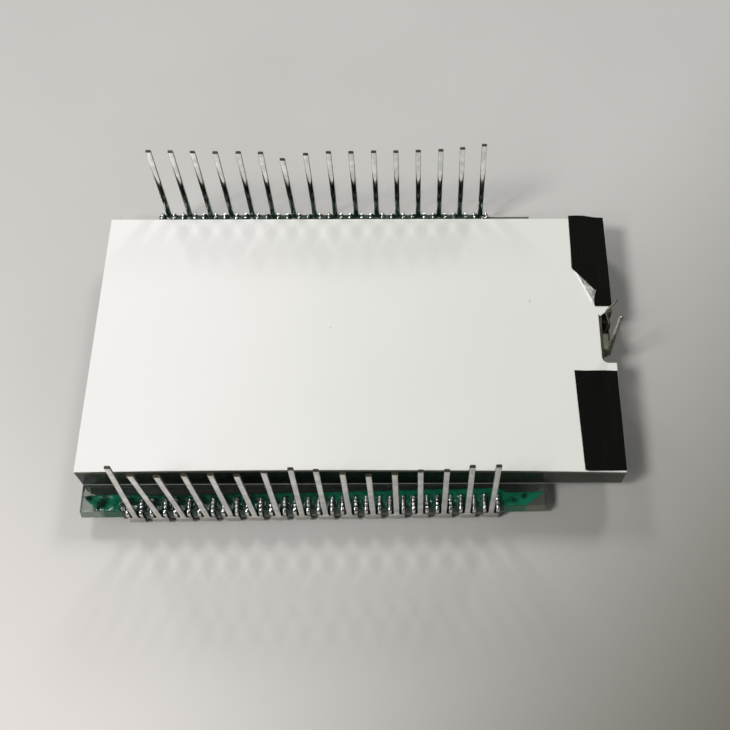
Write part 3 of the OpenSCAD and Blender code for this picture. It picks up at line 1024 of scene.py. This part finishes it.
@dataclass
class Resin:
    """The green resin over the contacts of one ledge."""

    row: Row
    finish: bpy.types.Material
    columns: int = 900
    layers: int = 34
    pitch: float = PITCH
    prong: float = 0.67 * MM
    prong_reach: float = PRONG_REACH
    metal: float = METAL
    wave: float = WAVE
    waves: float = WAVES
    slant: float = EDGE_SLANT
    taper: float = 4 * MM
    over_left: float = -21.0 * MM
    over_right: float = 20.6 * MM
    far_short: float = 0.8 * MM
    shift: float = 5.0

    def waviness(self, x: Rows, scale: float, shift: float) -> Rows:
        """Returns a sum of three sines of x, each finer and weaker than the last, from -1 to 1."""
        wave = np.sin(x / scale + shift) + 0.6 * np.sin(2.3 * x / scale + 2 * shift)
        return (wave + 0.4 * np.sin(5.1 * x / scale + 3 * shift)) / 2

    def from_pin(self, x: Rows) -> Rows:
        """Returns the distance along the row from the middle of the nearest pin."""
        return np.abs(np.mod(x, self.pitch) - self.pitch / 2)

    def inner_line(self, x: Rows) -> Rows:
        """Returns how far in from the edge the resin ends: a slanted line with a faint ripple."""
        wider = 0.22 * MM * smooth_step((-13 * MM - x) / (7 * MM))
        return (1.85 * MM + 0.011 * x) + wider + 0.05 * MM * self.waviness(x, 1.3 * MM, self.shift)

    def skin(self, x: Rows, inward: Rows, inset: Rows, shift: float) -> tuple[Rows, Rows]:
        """Works out the height of the resin above the ledge.

        It is a nearly level pool that thickens over the first half millimetre, with a small
        bump midway between two pins. The crests of the prongs stand bare out of it near the
        foot; further in a cover grows over them and follows their wave. It rounds off to
        nothing at its inner end.

        Args:
            x: place along the row.
            inward: distance from the edge.
            inset: where the resin ends.
            shift: phase of its roughness.

        Returns:
            The height, and how deep the resin looks there, from 0 to 1.
        """
        rise = smooth_step(inward / (0.5 * MM))
        rough = self.waviness(x + 0.7 * inward, 0.4 * MM, shift)
        past_foot = inward + (self.slant - 0.02 * MM if self.row is Row.NEAR else -0.02 * MM)
        level = (0.08 + 0.2 * rise + 0.03 * rough * rise) * MM
        run = (past_foot - self.metal / 2) / (self.prong_reach - self.metal)
        swing = self.wave * np.cos(2 * math.pi * self.waves * run)
        middle = 0.9 * self.metal + self.wave
        cover = smooth_step((past_foot - 0.8 * MM) / (0.5 * MM))
        on_prong = middle + (0.3 - 0.05 * cover) * self.wave + (0.35 + 0.65 * cover) * swing
        from_prong = self.from_pin(x) - self.prong
        over = np.exp(-(from_prong / (0.3 * MM)) ** 4)
        over = over * smooth_step((self.prong_reach + 0.15 * MM - past_foot) / (0.3 * MM))
        height = level + (on_prong - level) * over
        from_bump = self.from_pin(x + self.pitch / 2) ** 2 + (inward - 0.62 * MM) ** 2
        height = height + 0.1 * MM * np.exp(-from_bump / (0.13 * MM) ** 2)
        left = np.clip((inset - inward) / (0.35 * MM), 0, 1)
        near = np.exp(-(from_prong / (0.45 * MM)) ** 2)
        fade = smooth_step((1.6 * MM - inward) / (1.2 * MM))
        drift = 0.62 - 0.4 * smooth_step((x + 12 * MM) / (30 * MM)) + 0.16 * rough
        looks = drift + fade * (0.15 + 0.65 * near) if self.row is Row.NEAR else 0.95 + 0 * x
        return height * np.sqrt(left * (2 - left)), looks

    def build(self) -> None:
        """Builds the bead.

        Each cross section is a loop round the edge of the ledge: along the underside to
        the front plate, out past the edge, and back over the ledge as a skin. One factor
        tapers the whole section towards both ends. Outside the outermost pins, others take
        away all that is above the underside: "lap" the skin's height, "spread" its reach
        over the ledge, and "on" the face in front of the edge.
        """
        node = "epoxy_" + self.row.name.lower()
        low, high = corners(node)
        glass_low, glass_high = corners("rear_glass")
        front_edge = float(corners("front_glass")[1][1])
        under, over = float(glass_low[2]), float(glass_high[2])
        slant = self.slant if self.row is Row.NEAR else 0.0
        x = np.linspace(low[0] + 0.05 * MM, high[0] - 0.05 * MM, self.columns)
        edge = float(glass_high[1]) + (near_shift(x) if self.row is Row.NEAR else 0 * x)
        shift = self.shift + self.row.value
        full = smooth_step(np.minimum(x - low[0], high[0] - x) / self.taper)
        short = self.far_short if self.row is Row.FAR else 0.0
        inside = np.minimum(x - self.over_left, self.over_right - x) - short
        lap = smooth_step(inside / (0.7 * MM))
        spread = np.sqrt(np.clip(inside / (0.5 * MM), 0, 1))
        on = np.clip((inside + 0.12 * MM) / (0.05 * MM), 0, 1)
        between = 0.5 + 0.5 * np.cos(2 * math.pi * x / self.pitch)
        rough = self.waviness(x, 1.1 * MM, shift)
        drop = (0.62 + 0.08 * rough) * MM
        lip = lap * (0.03 + 0.09 * between + 0.02 * rough) * MM
        reach = front_edge + 0.6 * MM + full * (edge - front_edge - 0.62 * MM)
        inset = self.inner_line(x)
        tuck = 0.012 * MM
        wide = reach - front_edge
        deep = (over - under) * on
        loop = [
            (front_edge + tuck + 0 * x, under + tuck + 0 * x),
            (front_edge + tuck + 0 * x, under - drop * 0.9),
            (front_edge + 0.35 * wide, under - drop),
            (front_edge + 0.7 * wide, under - drop * 0.86),
            (front_edge + 0.92 * wide, under - drop * 0.62 * full - 0.06 * MM),
            (reach + lip, under - drop * (0.1 + 0.2 * lap)),
            (reach + lip * 1.15 - 0.3 * slant * on, under + 0.35 * deep),
            (reach + lip * 0.7 - 0.8 * slant * on, under + 0.85 * deep + tuck),
        ]
        depth = [1.5 + 0 * x] * 5 + [0.85 + 0 * x] * (len(loop) - 5)
        top = reach - (slant - 0.04 * MM) * on
        for share in np.linspace(0.02, 1.0, self.layers):
            inward = share * inset
            height, looks = self.skin(x, inward, inset, shift)
            loop.append((top - inward * spread, under + tuck + deep + lap * height))
            depth.append(looks)
        loop += [
            (top - (inset + 0.02 * MM) * spread, under + tuck + deep - 0.3 * tuck * on),
            (top - 0.1 * MM * spread, under + tuck + deep - 0.6 * tuck * on),
            (reach - 0.03 * MM, under + 2 * tuck + 0 * x),
        ]
        depth += [0.75 + 0 * x, 1.2 + 0 * x, 1.5 + 0 * x]
        rings = np.stack([np.column_stack([x, self.row.value * y, z]) for y, z in loop], axis=1)
        item = tube(node + "_bead", rings, self.finish)
        paint(item, "depth", np.stack(depth, axis=1))
        if self.row is Row.NEAR:
            item.data.flip_normals()
        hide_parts(node)
        LOG.info("%s resin built", self.row.name.lower())

    def tail(self, name: str, overlap: float, corner: float, end: float, back_off: float,
             spots: Sequence[tuple[float, ...]]) -> None:
        """Makes one thin end of the near resin, which runs out in a slanted line on the ledge.

        Its outer line follows the edge as far as the corner, then climbs evenly to the
        inner line. Across it the height follows a flat half ellipse.

        Args:
            name: the piece's name.
            overlap: where it starts, under the bead.
            corner: where the outer line leaves the edge.
            end: where it runs out.
            back_off: how far its inner line lies outside the bead's.
            spots: bell-shaped lumps, each with its place along the row, its distance from
                the edge, its width and its height in millimetres, and how much deeper it
                looks.
        """
        _, glass_high = corners("rear_glass")
        rows, columns = 90, 40
        u, v = np.meshgrid(np.linspace(0, 1, rows), np.linspace(0, 1, columns), indexing="ij")
        x = min(overlap, end) + abs(end - overlap) * u
        inner = self.inner_line(x) + 0.02 * MM
        inner = inner - back_off * smooth_step(np.abs(x - overlap) / (0.9 * MM))
        climb = np.clip((x - corner) / (end - corner), 0, 1)
        outer = inner * 0.93 * climb + 0.04 * MM * (1 + self.waviness(x, 0.6 * MM, 2.0))
        outer = np.minimum(outer, inner - 0.03 * MM)
        inward = outer + (inner - outer) * v
        lump = 0.03 * MM * self.waviness(x + 0.5 * inward, 0.5 * MM, 1.0) * (1 - v)
        depth = 0.35 + 0.3 * self.waviness(x + 2 * inward, 0.9 * MM, 3.0) - 0.3 * (overlap > 0)
        for place, from_edge, width, height, darker in np.array(spots) * (MM, MM, MM, MM, 1):
            bell = np.exp(-((x - place) ** 2 + (inward - from_edge) ** 2) / width ** 2)
            lump, depth = lump + height * bell, depth + darker * bell
        ends = smooth_step(u / 0.06) * smooth_step((1 - u) / 0.06)
        bulge = (0.08 * MM + lump) * np.sqrt(np.clip(1 - (2 * v - 1) ** 4, 0, 1)) * ends
        y = -(float(glass_high[1]) - self.slant + near_shift(x) - inward)
        base = float(glass_high[2]) + 0.006 * MM
        roof = np.stack([x, y, base + bulge], axis=-1).reshape(-1, 3)
        floor = np.stack([x, y, 0 * x + base - 0.004 * MM], axis=-1).reshape(-1, 3)
        faces = lattice(rows, columns, False)
        grid = np.arange(x.size).reshape(rows, columns)
        rim = np.concatenate([grid[0], grid[1:, -1], grid[-1, -2::-1], grid[-2:0:-1, 0]])
        walls = np.column_stack([rim, np.roll(rim, -1), np.roll(rim, -1) + x.size, rim + x.size])
        faces = np.concatenate([faces, faces[:, ::-1] + x.size, walls[:, ::-1]])
        item = piece(name, np.concatenate([roof, floor]), faces, self.finish)
        item.data.flip_normals()
        paint(item, "depth", np.stack([depth, depth]))

    def tails(self) -> None:
        """Makes both thin ends of the near resin."""
        left = [(-21.4, 0.4, 0.26, 0.17, 0.3), (-24.1, 1.5, 0.4, 0.0, 1.0),
                (-22.5, 1.0, 0.55, 0.03, 0.8), (-21.6, 1.5, 0.3, 0.05, -0.8),
                (-22.9, 0.4, 0.5, 0.03, 0.4)]
        right = [(22.6, 1.0, 0.36, 0.05, 1.1), (21.6, 0.6, 0.4, 0.02, 0.6),
                 (22.5, 1.5, 0.22, 0.08, -0.5)]
        self.tail("epoxy_near_tail_left", -20.2 * MM, -23.2 * MM, -24.75 * MM, 0.0, left)
        self.tail("epoxy_near_tail_right", 19.9 * MM, 22.9 * MM, 24.85 * MM, 0.6 * MM, right)


@dataclass
class Backlight:
    """Light guide, films and tapes."""

    block: BlockFinish = BlockFinish()
    film: FilmFinish = FilmFinish()
    tape: TapeFinish = TapeFinish()
    diffuser: PlainFinish = PlainFinish(
        "diffuser_sheet", srgb(150, 152, 148), srgb(158, 160, 156), 0.4)
    underside: FlapFinish = FlapFinish()
    notch_strip: PlainFinish = PlainFinish(
        "notch_lining", srgb(24, 18, 12), srgb(70, 50, 34), 0.4, size=0.8 * MM)
    notch_width: float = 6.4 * MM
    notch_depth: float = 1.6 * MM
    notch_round: float = 0.75 * MM

    def settled(self, points: Rows) -> Rows:
        """Moves points of the stack to where its slightly uneven sides really run.

        The near side bows inwards at the top and steps out at the foot, both by a
        quadratic of the place along it. The left side swings out at its near end, and
        the right side lies a little further out.

        Args:
            points: rows of X, Y, Z in metres.

        Returns:
            The moved points.
        """
        low, high = corners("light_guide")
        share = (points - low) / (high - low)
        u, v = np.clip(share[:, 0], 0, 1), np.clip(share[:, 1], 0, 1)
        w = np.clip((points[:, 2] - low[2]) / (high[2] - low[2]), 0, 1)
        top = 0.24 + 0.62 * u - 1.05 * u * u
        foot = -0.12 - 0.24 * u + 0.02 * u * u
        moved = points.copy()
        moved[:, 1] += (foot + (top - foot) * w) * MM * (1 - v) ** 6
        left = -0.24 * w * (1 - v) ** 2 * (1 - u) ** 6
        right = u ** 6 * (0.03 + 0.13 * v - 0.14 * (1 - w) * (1 - v))
        moved[:, 0] += (left + right) * MM
        return moved

    def settle(self, item: bpy.types.Object) -> None:
        """Moves a piece's points with the stack's uneven sides."""
        move_points(item.data, self.settled(points_of(item.data)))

    def outline(self, grow: float, torn: bool) -> Rows:
        """Returns the outline with its notch, anticlockwise from the lower left corner.

        Args:
            grow: how far the outline moves outwards.
            torn: whether the corner beyond the notch is torn off, as it is on the film.
        """
        low, high = corners("light_guide")
        middle = (low[1] + high[1]) / 2
        half, r = self.notch_width / 2, self.notch_round
        inner = high[0] - self.notch_depth
        turn = np.linspace(0, math.pi / 2, 6)
        sine, cosine = r * np.sin(turn), r * np.cos(turn)
        lower = np.column_stack([inner + r - sine, middle - half + r - cosine])
        upper = np.column_stack([inner + r - cosine, middle + half - r + sine])
        beyond = np.concatenate([upper, [[high[0], middle + half]]])
        if torn:
            scrap = [(0.0, -0.14), (0.1, -0.34), (0.24, -0.43), (0.42, -0.26), (0.62, -0.12),
                     (0.83, 0.06), (1.05, 0.36), (1.24, 0.6), (1.34, 0.76), (1.6, 0.83)]
            beyond = np.array(scrap) * MM + [inner, middle + half]
        steps = np.linspace(low[0], high[0], 40)
        near = np.column_stack([steps, np.full(len(steps), low[1])])
        points = np.concatenate([near, [[high[0], middle - half]], lower, beyond,
                                 [[high[0], high[1]], [low[0], high[1]]]])
        return points + outward(points) * grow

    def stack(self, node: str, slot: str, edge: float, grow: float,
              finish: bpy.types.Material) -> None:
        """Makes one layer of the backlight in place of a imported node."""
        low, high = corners(node)
        film = node == "reflector_film"
        top = corners("light_guide")[1][2] + 0.1 * MM if film else high[2]
        item = slab(node + "_layer", self.outline(grow, film), low[2], top, edge, finish)
        self.settle(item)
        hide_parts(node)

    def flap(self, finish: bpy.types.Material) -> None:
        """Makes the peeled flap of the reflector film.

        The flap is a triangle swept from the fold line: each point moves away from the
        fold along an arc that climbs and then levels out over the tape, with two sines
        across it as wrinkles.
        """
        _, high = corners("light_guide")
        tape_low = corners("tape_far")[0][:2]
        start = tape_low + np.array([2.04, 0.34]) * MM
        end = tape_low + np.array([0.2, 4.85]) * MM
        tip = tape_low + np.array([2.53, 1.95]) * MM
        u, v = np.meshgrid(np.linspace(0, 1, 48), np.linspace(0, 1, 24), indexing="ij")
        fold = start + (end - start) * u[..., None]
        bow = np.sin(math.pi * u) * 0.12 * MM * v
        flat = fold + (tip - fold) * v[..., None] - bow[..., None] * np.array([0.4, 0.9])
        climb = 0.42 * MM * np.sin(v * math.pi * 0.62) * (1 - 0.6 * u)
        broad = 0.035 * MM * np.sin(15 * u + 4 * v) * v * (1 - v) * 4
        narrow = 0.018 * MM * np.sin(31 * u - 9 * v) * v
        z = high[2] + 0.11 * MM + climb + broad + narrow
        points = np.column_stack([flat.reshape(-1, 2), z.reshape(-1)])
        item = piece("reflector_film_flap", points, lattice(48, 24, False), finish)
        paint(item, "from_fold", v)
        thick = item.modifiers.new("thickness", "SOLIDIFY")
        thick.thickness = 0.05 * MM

    @staticmethod
    def tape_corners(row: Row, wide: float, deep: float) -> list[tuple[float, float]]:
        """Returns the slightly uneven corners of a tape, in millimetres from its lower left.

        Args:
            row: the near tape, or the far one with its torn corner.
            wide, deep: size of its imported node.
        """
        if row is Row.NEAR:
            return [(0.33, 0.2), (0.74, 0.08), (wide - 1.2, 0.14), (wide, 0.18),
                    (wide - 0.02, deep * 0.5), (wide - 0.06, deep - 0.02),
                    (wide - 1.6, deep + 0.05), (1.1, deep + 0.02), (0.3, deep + 0.06),
                    (-0.06, deep + 0.08)]
        return [(2.24, 0.0), (wide, 0.0), (wide - 0.03, deep * 0.45), (wide - 0.11, deep - 0.33),
                (wide - 1.0, deep - 0.29), (wide - 1.7, deep - 0.17), (wide - 2.4, deep - 0.02),
                (0.9, deep), (0.06, deep - 0.03), (0.05, deep * 0.6), (0.0, 5.15), (0.2, 4.85),
                (1.3, 3.5), (2.5, 2.05), (2.34, 1.5), (2.22, 0.9), (2.18, 0.35)]

    def tapes(self, finish: bpy.types.Material) -> None:
        """Makes both tapes."""
        for row in Row:
            node = "tape_" + row.name.lower()
            low, high = corners(node)
            points = self.tape_corners(row, *((high - low)[:2] / MM))
            points = np.array(points) * MM + low[:2]
            points[:, 0] -= np.where(points[:, 0] < low[0] + 0.9 * MM, 0.1 * MM, 0.0)
            item = slab(node + "_strip", points, low[2], high[2], 0.02 * MM, finish)
            self.settle(item)
            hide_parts(node)

    def add_notch_strip(self) -> None:
        """Puts a dark brown strip along the inner wall of the notch."""
        low, high = corners("light_guide")
        middle = (low[1] + high[1]) / 2
        inner = high[0] - self.notch_depth
        points = np.array([(0.05, -2.9), (0.3, -2.95), (0.36, -1.0), (0.42, 2.0), (0.5, 2.75),
                           (0.0, 2.75), (0.05, 0.0)]) * MM + [inner, middle]
        item = slab("notch_lining_strip", points, low[2] + 0.1 * MM, high[2] - 0.1 * MM, 0.03 * MM,
                    self.notch_strip.build())

    def build(self) -> None:
        """Builds the whole backlight."""
        white = self.film.build()
        self.stack("light_guide", "light_guide", 0.05 * MM, -0.01 * MM, self.block.build())
        self.stack("diffuser_film", "diffuser", 0.02 * MM, 0.0, self.diffuser.build())
        self.stack("reflector_film", "reflector", 0.03 * MM, 0.0, white)
        self.flap(self.underside.build())
        self.tapes(self.tape.build())
        self.add_notch_strip()
        LOG.info("backlight built")


@dataclass
class Lamp:
    """Clear lamp in the notch, with its leads."""

    resin: PlainFinish = LAMP_RESIN
    die: PlainFinish = PlainFinish("lamp_die_yellow", srgb(150, 138, 70), srgb(176, 160, 84), 0.4)
    tin: TinFinish = TinFinish(
        "tinned_lead", srgb(186, 185, 174), srgb(158, 157, 146), foot_top=0.0, gloss=0.34)
    # A darker copy of the lead tin for the short lead: painted shade.
    shaded_tin: TinFinish = TinFinish(
        "dull_lead", srgb(122, 121, 108), srgb(102, 101, 89), foot_top=0.0, gloss=0.4)
    # Dark olive of the lower shoulder: painted shade.
    shade: PlainFinish = PlainFinish(
        "lamp_shaded_side", srgb(50, 45, 33), srgb(84, 80, 62), 0.8, size=0.9 * MM)
    gap: float = 0.3 * MM
    shoulder: float = 1.37 * MM
    far_reach: float = 0.75 * MM
    overhang: float = 0.45 * MM
    edge: float = 0.12 * MM
    step: float = 1.5 * MM
    lead_thickness: float = 0.26 * MM

    def body(self) -> None:
        """Makes the stepped body: a block with a lower shoulder at its far end, the shoulder a dark
        block of painted shade.
        """
        low, high = corners("lamp_body")
        finish = self.resin.build()
        start = low[0] + self.gap
        main = rectangle(np.array([start, low[1]]), np.array([high[0], high[1] - self.shoulder]))
        side = rectangle(np.array([start, high[1] - self.shoulder + 0.01 * MM]),
                         high[:2] + [self.overhang, self.far_reach])
        item = slab("lamp_block", main, low[2], high[2], self.edge, finish)
        # The lower shoulder reaches past the lamp as a dark brown-olive block: painted shade in the
        # notch.
        dark = slab("lamp_side", side, low[2], high[2] - self.step, self.edge, self.shade.build())
        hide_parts("lamp_body")

    def lead(self, node: str, path: Rows, across: Triple, width: float,
             tin: bpy.types.Material) -> None:
        """Makes one lead: a rounded strip carried along its path, narrower towards its tip.

        Args:
            node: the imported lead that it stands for.
            path: corners of its middle line.
            across: the direction of its width.
            width: its width at the foot.
            tin: its finish.
        """
        lengths = np.concatenate([[0], np.cumsum(np.linalg.norm(np.diff(path, axis=0), axis=1))])
        at = np.linspace(0, lengths[-1], 40)
        points = np.column_stack([np.interp(at, lengths, path[:, k]) for k in range(3)])
        soft = np.vstack([points[:1], (points[:-2] + points[1:-1] + points[2:]) / 3, points[-1:]])
        widths = width * (1 - 0.22 * at / lengths[-1])
        widths[-1] *= 0.7
        thickness = np.full(len(at), self.lead_thickness)
        rings = strip_rings(soft, np.array(across), widths, thickness, 0.1 * MM)
        item = tube(node + "_strip", rings, tin)
        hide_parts(node)

    def leads(self) -> None:
        """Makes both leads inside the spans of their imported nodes."""
        tin = self.tin.build()
        low, high = corners("lamp_lead_tall")
        x, y = (low[0] + high[0]) / 2, (low[1] + high[1]) / 2
        tall = np.array([[x, y, low[2] + 0.02 * MM], [x, y, high[2] - 0.02 * MM]])
        self.lead("lamp_lead_tall", tall, (0.94, -0.34, 0.0), 0.56 * MM, tin)
        low, high = corners("lamp_lead_short")
        foot = np.array([x, 1.87 * MM, low[2] + 0.02 * MM])
        knee = foot + np.array([0, 0, 2.5]) * MM
        turn = knee + np.array([-0.45, 1.28, 0.7]) * MM
        tip = turn + np.array([1.337, 1.109, 0.99]) * MM * 0.94
        self.lead("lamp_lead_short", np.array([foot, knee, turn, tip]), (0.64, -0.77, 0.0),
                  0.3 * MM, self.shaded_tin.build())

    def build(self) -> None:
        """Builds the body and the leads, and dresses the die."""
        self.body()
        self.leads()
        dress("lamp_die", self.die.build())
        LOG.info("lamp built")


@dataclass
class View:
    """The camera, placed as the photograph was taken."""

    focal_px: float = 1073.0
    centre_px: tuple[float, float] = (435.1, 365.0)
    frame_px: float = 730.0
    pitch: float = -0.455
    yaw: float = 0.019
    roll: float = 0.005
    shift_mm: Triple = (-13.26, 1.386, -123.33)
    ledge_mm: float = 2.5

    def build(self) -> None:
        """Makes the camera."""
        lens = bpy.data.cameras.new("photo_view")
        lens.sensor_fit = "HORIZONTAL"
        lens.sensor_width = 36.0
        lens.lens = lens.sensor_width * self.focal_px / self.frame_px
        lens.shift_x = (self.frame_px / 2 - self.centre_px[0]) / self.frame_px
        lens.shift_y = (self.centre_px[1] - self.frame_px / 2) / self.frame_px
        lens.clip_start, lens.clip_end = 0.001, 10.0
        turn = Matrix.Rotation(self.roll, 3, "Z") @ Matrix.Rotation(self.yaw, 3, "Y")
        turn = turn @ Matrix.Rotation(self.pitch, 3, "X")
        back = turn.transposed()
        spot = -(back @ Vector(self.shift_mm)) + Vector((0, 0, self.ledge_mm))
        camera = bpy.data.objects.new("photo_view", lens)
        camera.matrix_world = Matrix.Translation(spot * MM) @ back.to_4x4()
        bpy.context.scene.collection.objects.link(camera)
        bpy.context.scene.camera = camera


@dataclass
class Studio:
    """Pale table, soft lights and a room that is paler low down than overhead."""

    table: TableFinish = TableFinish()
    table_size: float = 3.0
    horizon: Colour = (0.80, 0.79, 0.775)
    overhead: Colour = (0.30, 0.30, 0.295)
    room: float = 0.19
    lights: Sequence[tuple[str, Triple, float, float]] = field(default_factory=lambda: [
        ("main_left", (-0.33, -0.21, 0.56), 0.13, 2.75),
        ("wide_left", (-0.5, 0.1, 0.45), 0.3, 0.4),
        ("back_left", (-0.5, 0.85, 0.85), 0.26, 4.6),
        ("back_right", (0.42, 0.9, 0.85), 0.26, 4.6),
        ("front_left", (-0.45, -0.52, 0.65), 0.12, 0.7),
    ])

    def world(self) -> bpy.types.World:
        """Makes the room's light: its colour changes with the height of the direction."""
        sheet = Sheet("room", world=True)
        way = sheet.node("ShaderNodeTexCoord", {}, {}).out("Generated")
        height = sheet.node("ShaderNodeSeparateXYZ", {}, {"Vector": way}).out("Z")
        colour = sheet.mix(height.above(0.55, 0.4), self.horizon, self.overhead)
        shine = sheet.node("ShaderNodeBackground", {}, {"Color": colour, "Strength": self.room})
        sheet.tree.links.new(shine.out(0).socket, sheet.output.inputs["Surface"])
        return sheet.owner

    def build(self) -> None:
        """Builds the table, the lamps and the world."""
        half = self.table_size / 2
        mesh = bpy.data.meshes.new("table_top")
        rim = [(-half, -half, 0), (half, -half, 0), (half, half, 0), (-half, half, 0)]
        mesh.from_pydata(rim, [], [(0, 1, 2, 3)])
        mesh.materials.append(self.table.build())
        table = bpy.data.objects.new("table_top", mesh)
        bpy.context.scene.collection.objects.link(table)
        for name, place, size, power in self.lights:
            lamp = bpy.data.lights.new(name, "AREA")
            lamp.shape = "SQUARE"
            lamp.size = size
            lamp.energy = power
            item = bpy.data.objects.new(name, lamp)
            item.location = place
            item.rotation_euler = (-Vector(place)).to_track_quat("-Z", "Y").to_euler()
            bpy.context.scene.collection.objects.link(item)
        bpy.context.scene.world = self.world()
        bpy.context.scene.view_settings.view_transform = "Standard"
        LOG.info("studio built")


def main() -> None:
    """Builds the whole scene."""
    logging.basicConfig(level=logging.INFO, format="%(name)s: %(message)s")
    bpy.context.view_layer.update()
    View().build()
    GlassCell().build()
    PinRows().build()
    resin = ResinFinish().build()
    for row in Row:
        Resin(row, resin).build()
    Resin(Row.NEAR, resin).tails()
    Backlight().build()
    Lamp().build()
    Studio().build()
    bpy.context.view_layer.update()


if __name__ == "__main__":
    main()
